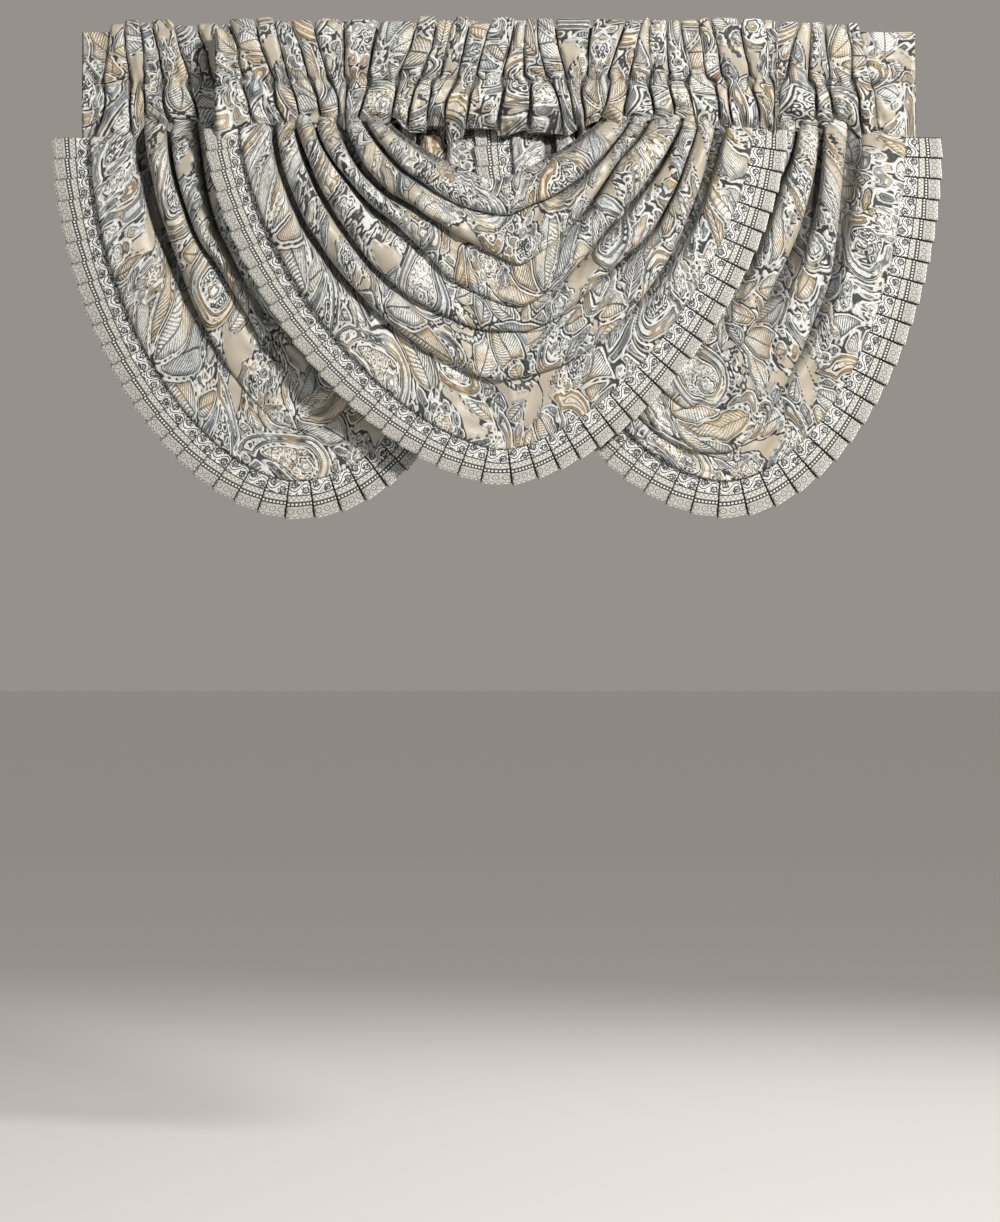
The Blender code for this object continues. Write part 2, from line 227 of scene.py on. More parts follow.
def smooth_rows(table, samples):
    """Points on a Catmull-Rom curve through the rows of a table, samples for each span."""
    table = np.asarray(table, float)
    padded = np.concatenate([2 * table[:1] - table[1:2], table, 2 * table[-1:] - table[-2:-1]])
    out = []
    for k in range(1, len(padded) - 2):
        a, b, c, d = padded[k - 1 : k + 3]
        for t in np.arange(samples) / samples:
            slope = (c - a) * t
            bend = (2 * a - 5 * b + 4 * c - d) * t * t
            twist = (3 * b - a - 3 * c + d) * t**3
            out.append(0.5 * (2 * b + slope + bend + twist))
    out.append(table[-1])
    return np.array(out)


def lengths(line):
    """The length along a line up to each of its points."""
    return np.concatenate([[0.0], np.cumsum(np.linalg.norm(np.diff(line, axis=0), axis=1))])


def follow(places, along, line):
    """The points at some places along a line of (x, z) points, each of which lies at its along."""
    return np.stack([np.interp(places, along, line[:, k]) for k in range(2)], axis=1)


def even_section(stops, samples, height):
    """Points evenly spaced along a section, whose height is so many times its width."""
    dense = smooth_rows(stops, 12)
    along = lengths(dense * (1.0, height))
    return follow(np.linspace(0.0, along[-1], samples + 1), along, dense)


def add_object(name, data):
    obj = bpy.data.objects.new(name, data)
    bpy.context.scene.collection.objects.link(obj)
    return obj


def grid_object(node, points, along, up, material, thickness):
    """A thin sheet over a grid of points, rows x columns x 3, with its UVs along and up the cloth."""
    name = node + "_cloth"
    rows, columns = points.shape[:2]
    index = np.arange(rows * columns).reshape(rows, columns)
    quads = np.stack(
        [index[:-1, :-1], index[:-1, 1:], index[1:, 1:], index[1:, :-1]], axis=-1
    ).reshape(-1, 4)
    mesh = bpy.data.meshes.new(name)
    mesh.from_pydata(points.reshape(-1, 3).tolist(), [], quads.tolist())
    uvs = np.stack(np.broadcast_arrays(along, up), axis=-1).reshape(-1, 2)[quads]
    layer = mesh.uv_layers.new(name="UVMap")
    layer.data.foreach_set("uv", uvs.reshape(-1).astype(np.float32))
    mesh.polygons.foreach_set("use_smooth", np.ones(len(quads), bool))
    mesh.materials.append(material)
    obj = add_object(name, mesh)
    solid = obj.modifiers.new("cloth", "SOLIDIFY")
    solid.thickness = thickness
    solid.offset = -1.0
    bpy.context.view_layer.objects.active = obj
    with bpy.context.temp_override(object=obj, active_object=obj):
        bpy.ops.object.modifier_apply(modifier="cloth")
    return obj


# ---------------- swags


def heading_bottom(heading, x):
    """The height of a heading's lower edge at x: it slopes down towards its outer ends."""
    from_start = np.maximum(0.0, 1.0 - (x - heading.start) / END_REACH)
    from_end = np.maximum(0.0, 1.0 - (heading.end - x) / END_REACH)
    return POCKET_BOTTOM - heading.drop_start * from_start - heading.drop_end * from_end


def swag_tuck(swag, v):
    """How far the cloth reaches up into the pocket at v: less at the hem than at the folds."""
    return HEM_TUCK + (SWAG_TUCK - HEM_TUCK) * np.clip(0.5 * (len(swag.rows) - 1 - v), 0.0, 1.0)


def valley_curves(swag):
    """For each row, points evenly spaced along its valley: array rows x (steps + 1) x 2 of (x, z)."""
    angle = np.linspace(0.0, 0.5 * math.pi, 4 * CURVE_STEPS)
    even = np.linspace(0.0, 1.0, CURVE_STEPS + 1)
    curves = []
    for number, row in enumerate(swag.rows):
        half = []
        for x, power in ((row.left_x, row.left_round), (row.right_x, row.right_round)):
            z = heading_bottom(swag.heading, x) + swag_tuck(swag, number)
            over = 1.0 - np.cos(angle) ** (2.0 / power)
            down = np.sin(angle) ** (2.0 / power)
            half.append(
                np.stack([x + (row.bottom_x - x) * over, z + (row.bottom_z - z) * down], axis=1)
            )
        line = np.concatenate([half[0], half[1][-2::-1]])
        along = lengths(line)
        curves.append(follow(even, along / along[-1], line))
    return np.array(curves)


def on_curves(curves, u, v):
    """The (x, z) points at u along and v across a stack of curves, both arrays of one shape."""
    rows, columns = curves.shape[0] - 1, curves.shape[1] - 1
    v = np.clip(v, 0.0, rows)
    i = np.minimum(v.astype(int), rows - 1)
    j = np.minimum((u * columns).astype(int), columns - 1)
    s, t = (v - i)[..., None], (u * columns - j)[..., None]
    near = curves[i, j] * (1 - t) + curves[i, j + 1] * t
    far = curves[i + 1, j] * (1 - t) + curves[i + 1, j + 1] * t
    return near * (1 - s) + far * s


def swag_hang(swag, u):
    """How far back the swag leaves its pocket at u."""
    return swag.hang_left + (swag.hang_right - swag.hang_left) * u


def swag_depth(swag, u, v, z):
    """How far back the plain sheet lies, before its rolls: it leaves the pocket and comes forward."""
    last = len(swag.rows) - 1
    belly = swag.belly_neck + (swag.belly_hem - swag.belly_neck) * v / last
    drop = np.maximum(POCKET_BOTTOM - z, 0.0)
    return swag_hang(swag, u) - belly * (1.0 - np.exp(-drop / BELLY_DROP))


def cloth_lengths(points):
    """Where each point lies in the flat cloth: along its row from the middle, and up from the hem."""
    along = np.linalg.norm(np.diff(points, axis=1), axis=2)
    along = np.concatenate([np.zeros((len(points), 1)), np.cumsum(along, axis=1)], axis=1)
    along -= along[:, points.shape[1] // 2][:, None]
    step = np.linalg.norm(np.diff(points[::-1], axis=0), axis=2)
    slide = np.diff(along[::-1], axis=0)
    rise = np.sqrt(np.maximum(step**2 - slide**2, (LEAST_RISE * step) ** 2))
    up = np.concatenate([np.zeros((1, points.shape[1])), np.cumsum(rise, axis=0)])[::-1]
    return along, up


def build_swag(swag, material):
    """One swag: rolls of cloth with slots between them, flatter at the bottom than at the sides."""
    last = len(swag.rows) - 1
    across = np.linspace(0.0, 1.0, SWAG_ACROSS + 1)
    rows = np.arange(last * ROLL_SAMPLES + 1)
    i = np.minimum(rows // ROLL_SAMPLES, last - 1)
    sample = rows - i * ROLL_SAMPLES
    i, u = np.meshgrid(i, across, indexing="ij")
    middle = np.sin(math.pi * u) ** 4.0
    side_roll = even_section(SIDE_ROLL, ROLL_SAMPLES, SIDE_ROUND)[sample][:, None]
    bottom_roll = even_section(BOTTOM_ROLL, ROLL_SAMPLES, BOTTOM_ROUND)[sample][:, None]
    section = side_roll + (bottom_roll - side_roll) * middle[..., None]
    place, crown = section[..., 0], section[..., 1]
    slot = SLOT_MEAN + SLOT_UNEVEN * soft_noise(i * 2.7 + 7.0 * swag.seed, u * 3.0)
    place = place - SLOT_SHIFT * (1.0 - slot) * (1.0 - place) * smoothstep(0.0, 0.26, place)
    heights = np.array([[r.left_roll, r.bottom_roll, r.right_roll] for r in swag.rows])
    side = np.where(u < 0.5, heights[i, 0], heights[i, 2])
    height = side + (heights[i, 1] - side) * middle
    height = ROLL_SCALE * height * (1.0 + ROLL_UNEVEN * np.sin(9.0 * u + 2.1 * i + swag.seed))
    v = i + place
    sway = ROLL_SWAY * np.sin(13.0 * u + 1.9 * v + swag.seed)
    sway = sway + ROLL_WANDER * soft_noise(u * 15, v * 1.3 + 5.0)
    sway = sway * np.sin(math.pi * np.clip(v / last, 0.0, 1.0))
    flat = on_curves(valley_curves(swag), u, v + sway)
    depth = swag_depth(swag, u, v, flat[..., 1])
    deepest = 0.003 + 0.9 * (swag_hang(swag, u) - depth)  # no slot reaches what hangs behind
    drop = heading_bottom(swag.heading, flat[..., 0]) - flat[..., 1]
    below_seam = np.maximum(drop + swag_tuck(swag, v), 0.0)
    at_seam = np.exp(-below_seam / SEAM_EASE)
    pinch = 1.0 - at_seam
    depth = depth + np.minimum(-height * pinch * crown, deepest) - SEAM_FORWARD * at_seam
    open_edge = np.minimum(1.0, 4.0 * (last - v))
    crease = CREASE * np.abs(soft_noise(u * 17 + 3 * swag.seed, v * 2.3)) ** 0.8
    crease = crease + SMALL_CREASE * np.abs(soft_noise(u * 34 + 2.5 * v, v * 3.1 + 9.0)) ** 0.8
    ripple = RIPPLE * soft_noise(u * 60 + 9.0, v * 5.0 + swag.seed)
    depth = depth + (crease * (0.25 + 0.75 * smoothstep(-0.8, 0.2, crown)) + ripple) * open_edge
    points = np.stack([flat[..., 0], depth, flat[..., 1]], axis=-1)
    along, up = cloth_lengths(points)
    obj = grid_object(swag.node, points, along, up, material, CLOTH)
    # Painted shade: on the front face the cloth is darkened in the slots between rolls, on the back
    # face behind the rolls' crowns.
    front_painted_shade = pinch * (1.0 - smoothstep(-0.95, -0.15, crown))
    back_painted_shade = 0.45 * pinch * smoothstep(0.80, 1.0, crown)
    weave_design(obj, along + swag.seed, up, back_painted_shade, front_painted_shade)
    return obj


# ---------------- borders

PleatStop = namedtuple("PleatStop", "tenths rise")
# One knife pleat from its folded edge to the next one's: tenths of its width, and how far forward
# it stands, as a share of PLEAT_RISE.
PLEAT_STOPS = (
    PleatStop(0.0, -0.9),
    PleatStop(0.10, -0.5),
    PleatStop(0.16, 0.80),
    PleatStop(0.30, 1.0),
    PleatStop(1.4, 0.94),
    PleatStop(4.0, 0.72),
    PleatStop(7.0, 0.38),
    PleatStop(9.2, 0.10),
    PleatStop(9.84, 0.0),
    PleatStop(9.92, -0.5),
)
BORDER_ROWS = 12
BORDER_TUCK = 0.006
PLEAT_RISE = 0.0062
BORDER_KICK = 0.003  # how far forward the border's edge hangs
BORDER_BEHIND = 0.0015  # how far behind the hem it is sewn on


def build_border(swag, material):
    """The knife-pleated border: each pleat's folded edge stands in front of the pleat before."""
    hem = valley_curves(swag)[-1]
    tangent = np.gradient(hem, axis=0)
    tangent /= np.linalg.norm(tangent, axis=1)[:, None]
    outward = np.stack([tangent[:, 1], -tangent[:, 0]], axis=1)
    shares = np.array([stop.tenths for stop in PLEAT_STOPS]) / 10.0
    rises = np.array([stop.rise for stop in PLEAT_STOPS])
    pleat = np.repeat(np.arange(swag.pleats), len(shares))
    along = np.concatenate([pleat + np.tile(shares, swag.pleats), [swag.pleats]])
    rise = np.concatenate([np.tile(rises, swag.pleats), [0.0]])
    u = np.clip(along / swag.pleats, 0.0, 1.0)
    where = np.linspace(0.0, 1.0, len(hem))
    sewn, out = follow(u, where, hem), follow(u, where, outward)
    depth = swag_depth(swag, u, np.full_like(u, len(swag.rows) - 1), sewn[:, 1])
    distance = np.linspace(-BORDER_TUCK, swag.border_width, BORDER_ROWS + 1)[:, None]
    share = np.clip(distance / swag.border_width, 0.0, 1.0)
    flare = 1.0 - (along - np.floor(along))
    reach = distance + PLEAT_FLARE * share * (flare - 0.8)
    lift = PLEAT_RISE * (0.3 + 0.7 * share) * rise + BORDER_KICK * share**2
    flat = sewn[None] + out[None] * reach[..., None]
    points = np.stack([flat[..., 0], depth[None] - lift + BORDER_BEHIND, flat[..., 1]], axis=-1)
    across = distance / swag.border_width
    return grid_object(swag.border, points, along[None], across, material, BORDER_CLOTH)


# ---------------- headings

POCKET_FULL = -0.165  # where the pocket's front is free of its lower stitching
FRILL_FROM, FRILL_FULL = -0.110, -0.094  # where the pocket turns into the frill
Level = namedtuple("Level", "z front gather dip")
# The front layer from the pocket's lower stitching up to the frill's top edge: height, how far
# forward its valleys are, how much further its ridges are, and how far its valleys sit below them.
FRONT_LEVELS = (
    Level(POCKET_BOTTOM, 0.0010, 0.004, 0.0),
    Level(-0.178, 0.0020, 0.006, 0.0),
    Level(POCKET_FULL, 0.0055, 0.012, 0.0),
    Level(-0.144, 0.0085, 0.014, 0.0),
    Level(-0.122, 0.0065, 0.013, 0.0),
    Level(-0.110, 0.0035, 0.009, 0.0),
    Level(POCKET_TOP, 0.0020, 0.006, 0.0),
    Level(-0.099, 0.0020, 0.010, 0.0),
    Level(-0.080, 0.0020, 0.017, 0.0),
    Level(-0.050, 0.0020, 0.021, 0.0),
    Level(-0.020, 0.0020, 0.020, 0.004),
    Level(-0.004, 0.0018, 0.016, 0.012),
    Level(0.000, 0.0005, 0.012, 0.015),
)
LEVEL_SAMPLES = 4
FRILL_LEVEL = 9  # the level whose length the woven design follows
DESIGN_SHIFT = 0.02  # the design jumps this far from each gather to the next
EDGE_LEAN, EDGE_SWAY, EDGE_SHIFT = 0.018, 0.006, 0.018  # how far a gather's sides stray
STITCH_REACH = 0.010  # how far above and below itself a row of stitching draws the cloth in
SEAM_WIDTH = 0.016  # below the pocket, where the two layers are sewn together
PAINTED_SHADE_CROWN = 0.42  # the slot between two gathers is painted with shade up to this share of their height
FRILL_GAP = 0.0022  # between the frill's two layers
BACK_STEP = 6  # the back layer keeps one row in six
BACK_BELOW = 0.0006  # how far the back layer's edges lie below the front's
# Over the centre swag's neckline the pocket's lower edge hangs lower and is drawn back under the rod.
NECK_LEFT, NECK_RIGHT, NECK_TOP = (-0.180, -0.120), (0.112, 0.172), -0.146
NECK_TUCK, NECK_DROP = 0.015, 0.015


def gather_edges(heading):
    start, end = heading.start + heading.flat_start, heading.end - heading.flat_end
    along = np.cumsum((0.0, *heading.gathers))
    return start + (end - start) * along / along[-1]


def heading_columns(heading):
    """For each column: the gather's number, the place across it and the share of its height."""
    section = smooth_rows(GATHER_SECTION, GATHER_SAMPLES)
    columns = []
    if heading.flat_start:
        columns += [(-1, w, 0.0) for w in np.linspace(0.0, 0.96, 10)]
    for k in range(len(heading.gathers)):
        columns += [(k, place, height) for place, height in section[:-1]]
    if heading.flat_end:
        columns += [(len(heading.gathers), w, 0.0) for w in np.linspace(0.0, 1.0, 11)]
    else:
        columns += [(len(heading.gathers) - 1, 1.0, 0.0)]
    return np.array(columns).T


def build_heading(heading, material):
    """A gathered strip folded over at the top: front layer, frill's top edge, back layer."""
    gather, place, crown = (values[None] for values in heading_columns(heading))
    count = len(heading.gathers)
    levels = smooth_rows(FRONT_LEVELS, LEVEL_SAMPLES)
    z, front, tall, dip = (values[:, None] for values in levels.T)
    frill = smoothstep(FRILL_FROM, FRILL_FULL, z)
    free = smoothstep(POCKET_BOTTOM, POCKET_FULL, z)
    ridge = np.clip(crown, 0.0, 1.0)
    edges = np.concatenate([[heading.start], gather_edges(heading), [heading.end]])
    near = np.clip(gather.astype(int) + 1, 0, count + 1)

    def edge(k):
        lean = EDGE_LEAN * soft_noise(k * 0.37 + heading.seed, 4.0) * (z - POCKET_TOP) / 0.05
        sway = EDGE_SWAY * soft_noise(k * 1.37 + 5.0 * heading.seed, z / 0.04)
        shift = soft_noise(k * 1.91 + 3.0 * heading.seed, 9.0 + z / 0.07)
        shift = EDGE_SHIFT * (1.0 - frill) * shift
        return np.where((k == 0) | (k == count + 2), edges[k], edges[k] + lean + sway + shift)

    upper_stitch = np.exp(-(((z - POCKET_TOP) / STITCH_REACH) ** 2))
    lower_stitch = np.exp(-(((z - POCKET_BOTTOM) / STITCH_REACH) ** 2))
    stitch = upper_stitch + 0.6 * lower_stitch
    narrow = 0.5 + (place - 0.5) * (1.0 - 0.46 * stitch * ridge)
    x = edge(near) * (1.0 - narrow) + edge(near + 1) * narrow
    flat = (gather < 0) | (gather >= count)
    uneven = 0.86 + 0.20 * soft_noise(gather * 1.7 + heading.seed, 0.5)
    puff = 1.0 + 0.45 * soft_noise(gather * 2.3 + heading.seed, z / 0.028) * (1.0 - frill)
    amount = np.where(flat, 0.006 + 0.003 * np.sin(7.0 * place), tall * crown * uneven * puff)
    slant = x + 0.7 * z * np.sin(gather * 2.1 + heading.seed)
    creases = np.abs(soft_noise(slant / 0.019 + heading.seed, z / 0.030))
    puckers = soft_noise(x / 0.0075, z / 0.024 + heading.seed)
    wrinkle = (0.0036 + 0.0080 * (1.0 - frill)) * creases + (0.0008 + 0.0040 * stitch) * puckers
    forward = front + amount + wrinkle * (0.35 + 0.65 * free)
    neck = smoothstep(*NECK_LEFT, x) * (1.0 - smoothstep(*NECK_RIGHT, x)) * (heading is HEADING_CENTRE)
    forward = forward - NECK_TUCK * neck * (1.0 - smoothstep(POCKET_BOTTOM, NECK_TOP, z))
    low = 1.0 - smoothstep(POCKET_BOTTOM, POCKET_TOP, z)
    dome = np.where(flat, 0.7, ridge**0.7)
    rise = np.where(flat, -0.008, 0.004 + 0.009 * soft_noise(gather * 2.9 + 3.0 * heading.seed, 2.5))
    lift = rise * smoothstep(-0.09, 0.0, z)
    ragged = 0.020 * soft_noise(gather * 1.6 + 2.0 * heading.seed, place * 0.8) - NECK_DROP * neck
    ragged = ragged * low**2
    height = z + (heading_bottom(heading, x) - POCKET_BOTTOM) * low + ragged - dip * (1.0 - dome) + lift
    front_points = np.stack(np.broadcast_arrays(x, heading.rod_y - forward, height), axis=-1)
    sewn = frill + 1.0 - smoothstep(POCKET_BOTTOM, POCKET_BOTTOM + SEAM_WIDTH, z)
    pocket_back = heading.rod_y + front + 0.6 * amount
    behind_front = heading.rod_y - forward + FRILL_GAP
    back = np.maximum(pocket_back * (1.0 - sewn) + behind_front * sewn, behind_front)
    back_points = np.stack(np.broadcast_arrays(x, back, height - BACK_BELOW), axis=-1)
    back_points = back_points[::-1][::BACK_STEP]
    points = np.concatenate([front_points, back_points])
    along = lengths(front_points[LEVEL_SAMPLES * FRILL_LEVEL])[None]
    up = np.concatenate([z, (2 * z[-1] - z[::-1])[::BACK_STEP]]) - z[0]
    along, up = np.broadcast_arrays(along + DESIGN_SHIFT * gather, up)
    obj = grid_object(heading.node, points, along, up, material, CLOTH)
    # Painted shade: the cloth is darkened in the slots between gathers, fading out at the pocket's
    # lower stitching; the back layer gets none.
    painted_slot_shade = np.where(flat, 0.0, 1.0 - smoothstep(0.0, PAINTED_SHADE_CROWN, crown)) * free
    painted_slot_shade = np.concatenate([painted_slot_shade, 0.0 * painted_slot_shade[::-1][::BACK_STEP]])
    weave_design(obj, along + heading.seed, up, painted_slot_shade, 0.0 * painted_slot_shade)
    return obj


# ---------------- the woven design

REPEAT_ALONG = 0.64  # one repeat of the design; the next one over is half a repeat higher
REPEAT_UP = 0.56
SPINE_STEPS = 20
DESIGN_WANDER = 0.012  # how far the design strays from a perfect repeat
MOTIF_MARGIN = 0.02  # how far round a motif its distance is worked out
FAR_AWAY = 0.08  # the distance stored where no motif is near
LEAF_SPREAD, LEAF_BEND = 34, 14  # degrees between the leaves of a fan

IVORY = (0.690, 0.660, 0.580)
WHITE = (0.900, 0.885, 0.830)
PALE_BLUE = (0.360, 0.400, 0.420)
SLATE = (0.080, 0.088, 0.092)
GOLD = (0.520, 0.375, 0.175)
BROWN = (0.240, 0.155, 0.060)
CHAMPAGNE = (0.440, 0.385, 0.300)
INK = (0.014, 0.015, 0.017)

Fill = namedtuple("Fill", "echo veins curls")
ECHO = Fill(1.0, 0.0, 0.0)
VEINS = Fill(0.25, 1.0, 0.0)
CURLS = Fill(0.0, 0.0, 1.0)
PLAIN = Fill(0.0, 0.0, 0.0)

# A tapering stroke: it starts at x, y (metres in the repeat), leaves at the angle turn (degrees)
# and bends by curl (degrees). Its half-width is width where it is widest. A drop is round at its
# start and pointed at its end, a leaf is pointed at both, and a rope keeps most of its width.
Stroke = namedtuple("Stroke", "shape x y turn length width curl tint fill")
# A flower of lobed rings round its centre.
Flower = namedtuple("Flower", "x y radius lobes tint fill")


def paisley(x, y, turn, size, curl, band, heart):
    """A bent drop with a band of echoing lines round a smaller drop, and a flower at its base."""
    cos, sin = math.cos(math.radians(turn)), math.sin(math.radians(turn))
    core = (x + 0.03 * size * cos, y + 0.03 * size * sin)
    return (
        Stroke("drop", x, y, turn, size, 0.34 * size, curl, band, ECHO),
        Stroke("drop", *core, turn, 0.62 * size, 0.20 * size, 0.8 * curl, heart, CURLS),
        Flower(x - 0.02 * size * cos, y - 0.02 * size * sin, 0.10 * size, 6, WHITE, ECHO),
    )


def fan(x, y, turn, size, tints):
    """Leaves that spread from one point, the middle one on top."""
    middle = (len(tints) - 1) / 2
    leaves = []
    for k in sorted(range(len(tints)), key=lambda k: -abs(k - middle)):
        lean, bend = turn + LEAF_SPREAD * (k - middle), LEAF_BEND * (k - middle)
        length = size * (1.0 - 0.10 * abs(k - middle))
        leaves.append(Stroke("leaf", x, y, lean, length, 0.21 * size, bend, tints[k], VEINS))
    return tuple(leaves)


def rosette(x, y, radius, petals, outer, inner):
    return (
        Flower(x, y, radius, petals, outer, ECHO),
        Flower(x, y, 0.55 * radius, petals - 2, inner, CURLS),
    )


def medallion(x, y, turn, size, outer, inner):
    """A bent oval within an oval."""
    cos, sin = math.cos(math.radians(turn)), math.sin(math.radians(turn))
    core = (x + 0.2 * size * cos, y + 0.2 * size * sin)
    return (
        Stroke("leaf", x, y, turn, size, 0.32 * size, 40, outer, ECHO),
        Stroke("leaf", *core, turn + 6, 0.6 * size, 0.16 * size, 24, inner, CURLS),
    )


def spiral(x, y, turn, size, curl, tint):
    return (Stroke("rope", x, y, turn, 2.4 * size, 0.075 * size, curl, tint, ECHO),)


def patch(x, y, turn, size, curl):
    """A bare piece of the satin ground."""
    return (Stroke("leaf", x, y, turn, size, 0.20 * size, curl, CHAMPAGNE, PLAIN),)


def background(columns, rows):
    """Small motifs on an uneven grid, below everything else."""
    motifs = []
    tints = (IVORY, PALE_BLUE, WHITE, GOLD, IVORY, PALE_BLUE, WHITE)
    for k in range(columns * rows):
        column, row = k % columns, k // columns
        x = REPEAT_ALONG * (column + 0.5 + 0.3 * math.sin(5.1 * k)) / columns
        y = REPEAT_UP * (row + 0.5 + 0.3 * math.sin(7.7 * k + 1.0)) / rows
        turn, tint, other = 137.5 * k, tints[k % len(tints)], tints[(k + 3) % len(tints)]
        motifs += (
            fan(x, y, turn, 0.095, (tint, other, IVORY, PALE_BLUE)),
            medallion(x, y, turn, 0.105, tint, other),
            rosette(x, y, 0.040, 7 + k % 3, tint, other),
            paisley(x, y, turn, 0.115, 90, tint, other),
        )[k % 4]
    return motifs


DESIGN = (
    *background(9, 8),
    *patch(0.030, 0.310, 60, 0.090, 30),
    *patch(0.330, 0.260, -20, 0.130, 50),
    *patch(0.500, 0.060, 140, 0.110, -40),
    *patch(0.430, 0.440, 30, 0.120, 45),
    *fan(0.060, 0.020, 80, 0.150, (IVORY, PALE_BLUE, IVORY, GOLD, IVORY)),
    *fan(0.220, 0.300, 200, 0.140, (WHITE, IVORY, PALE_BLUE, IVORY)),
    *fan(0.390, 0.130, 20, 0.150, (IVORY, GOLD, IVORY, PALE_BLUE)),
    *fan(0.560, 0.430, 110, 0.150, (PALE_BLUE, IVORY, GOLD, IVORY, WHITE)),
    *fan(0.330, 0.500, 250, 0.150, (IVORY, SLATE, IVORY, GOLD)),
    *fan(0.600, 0.250, 300, 0.130, (WHITE, IVORY, PALE_BLUE)),
    *fan(0.480, 0.330, 190, 0.120, (GOLD, IVORY, PALE_BLUE)),
    *spiral(0.330, 0.200, 80, 0.070, 400, IVORY),
    *spiral(0.060, 0.400, 200, 0.080, -380, PALE_BLUE),
    *spiral(0.540, 0.180, 20, 0.075, 390, GOLD),
    *spiral(0.240, 0.420, 120, 0.070, -400, WHITE),
    *spiral(0.440, 0.520, 10, 0.075, 380, IVORY),
    *spiral(0.130, 0.120, 300, 0.065, 380, GOLD),
    *paisley(0.120, 0.200, 70, 0.180, 95, GOLD, SLATE),
    *paisley(0.470, 0.230, 115, 0.170, -100, PALE_BLUE, IVORY),
    *paisley(0.320, 0.360, -30, 0.160, 90, IVORY, SLATE),
    *paisley(0.590, 0.500, 200, 0.160, -90, IVORY, SLATE),
    *paisley(0.230, 0.540, 75, 0.150, 80, PALE_BLUE, SLATE),
    *paisley(0.400, 0.030, 160, 0.150, 85, IVORY, GOLD),
    *rosette(0.290, 0.150, 0.042, 9, WHITE, SLATE),
    *rosette(0.030, 0.130, 0.036, 8, IVORY, SLATE),
    *rosette(0.400, 0.330, 0.038, 8, WHITE, IVORY),
    *rosette(0.600, 0.360, 0.040, 9, IVORY, GOLD),
    *rosette(0.140, 0.370, 0.038, 8, WHITE, SLATE),
    *rosette(0.520, 0.015, 0.036, 8, WHITE, GOLD),
    *rosette(0.090, 0.520, 0.034, 7, IVORY, PALE_BLUE),
)


def repeat_offsets(x, y, along, up):
    """Each point's offset from the nearest copy of (x, y), with every other repeat half as high."""
    cell = np.round((along - x) / REPEAT_ALONG)
    dx = along - x - cell * REPEAT_ALONG
    dy = up - y - 0.5 * REPEAT_UP * np.mod(cell, 2)
    return dx, dy - REPEAT_UP * np.round(dy / REPEAT_UP)


def stroke_field(stroke, dx, dy):
    """At each offset: depth inside the stroke, length along its spine and distance to the side."""
    s = np.linspace(0.0, 1.0, SPINE_STEPS)
    angle = np.radians(stroke.turn + stroke.curl * s**1.5)
    step = stroke.length / (SPINE_STEPS - 1)
    xs = np.concatenate([[0.0], np.cumsum(np.cos(angle[:-1]) * step)])
    ys = np.concatenate([[0.0], np.cumsum(np.sin(angle[:-1]) * step)])
    taper = {
        "drop": (1.0 - s) ** 0.85,
        "leaf": np.sin(math.pi * s) ** 0.8,
        "rope": 1.0 - 0.55 * s,
    }[stroke.shape]
    depth = np.full(dx.shape, -1.0)
    along, side = np.zeros(dx.shape), np.zeros(dx.shape)
    for k in range(SPINE_STEPS):
        ex, ey = dx - xs[k], dy - ys[k]
        inside = stroke.width * taper[k] - np.hypot(ex, ey)
        deeper = inside > depth
        cos, sin = math.cos(angle[k]), math.sin(angle[k])
        depth = np.where(deeper, inside, depth)
        along = np.where(deeper, s[k] * stroke.length + ex * cos + ey * sin, along)
        side = np.where(deeper, ey * cos - ex * sin, side)
    return depth, along, side


def flower_field(flower, dx, dy):
    angle, radius = np.arctan2(dy, dx), np.hypot(dx, dy)
    lobed = flower.radius * (0.74 + 0.26 * np.abs(np.cos(0.5 * flower.lobes * angle)))
    return lobed - radius, angle * flower.lobes * 0.010, radius


# Four directions as far apart as can be. A point's depth inside its motif is stored along one of
# them, another for its neighbours, so that it falls towards zero between them on a coarse mesh too.
DIRECTIONS = np.array([(1, 1, 1), (1, -1, -1), (-1, 1, -1), (-1, -1, 1)]) / math.sqrt(3.0)


def design(along, up):
    """The design at points of the flat cloth: depths, places, colours and kinds of fill."""
    sideways = DESIGN_WANDER * soft_noise(along / 0.11, up / 0.11)
    upwards = DESIGN_WANDER * soft_noise(along / 0.10 + 31.0, up / 0.10)
    along, up = along + sideways, up + upwards
    depth = np.full(along.shape, FAR_AWAY)
    direction = np.zeros(along.shape, int)
    drawing = np.zeros(along.shape + (3,)) + (0.0, 0.0, 1.0)
    tint = np.zeros(along.shape + (3,)) + CHAMPAGNE
    fill = np.zeros(along.shape + (3,)) + PLAIN
    for number, motif in enumerate(DESIGN):
        stroke = isinstance(motif, Stroke)
        reach = MOTIF_MARGIN + (motif.length + motif.width if stroke else motif.radius)
        dx, dy = repeat_offsets(motif.x, motif.y, along, up)
        near = np.nonzero(np.hypot(dx, dy) < reach)
        field = stroke_field if stroke else flower_field
        inside, run, side = field(motif, dx[near], dy[near])
        over = inside > 0.0
        depth[near] = np.where(over, inside, np.minimum(depth[near], -inside))
        covered = tuple(index[over] for index in near)
        bare = np.full_like(run, 1.0 if motif.fill == PLAIN else 0.0)
        drawing[covered] = np.stack([run, side, bare], axis=-1)[over]
        tint[covered], fill[covered] = motif.tint, motif.fill
        direction[covered] = 1 + number % 3
    return DIRECTIONS[direction] * depth[..., None], drawing, tint, fill


def store(obj, name, kind, field, values):
    """Stores values at a sheet's points: all those of the grid's own face, then the other face's."""
    layer = obj.data.attributes.new(name, kind, "POINT")
    layer.data.foreach_set(field, values.reshape(-1).astype(np.float32))


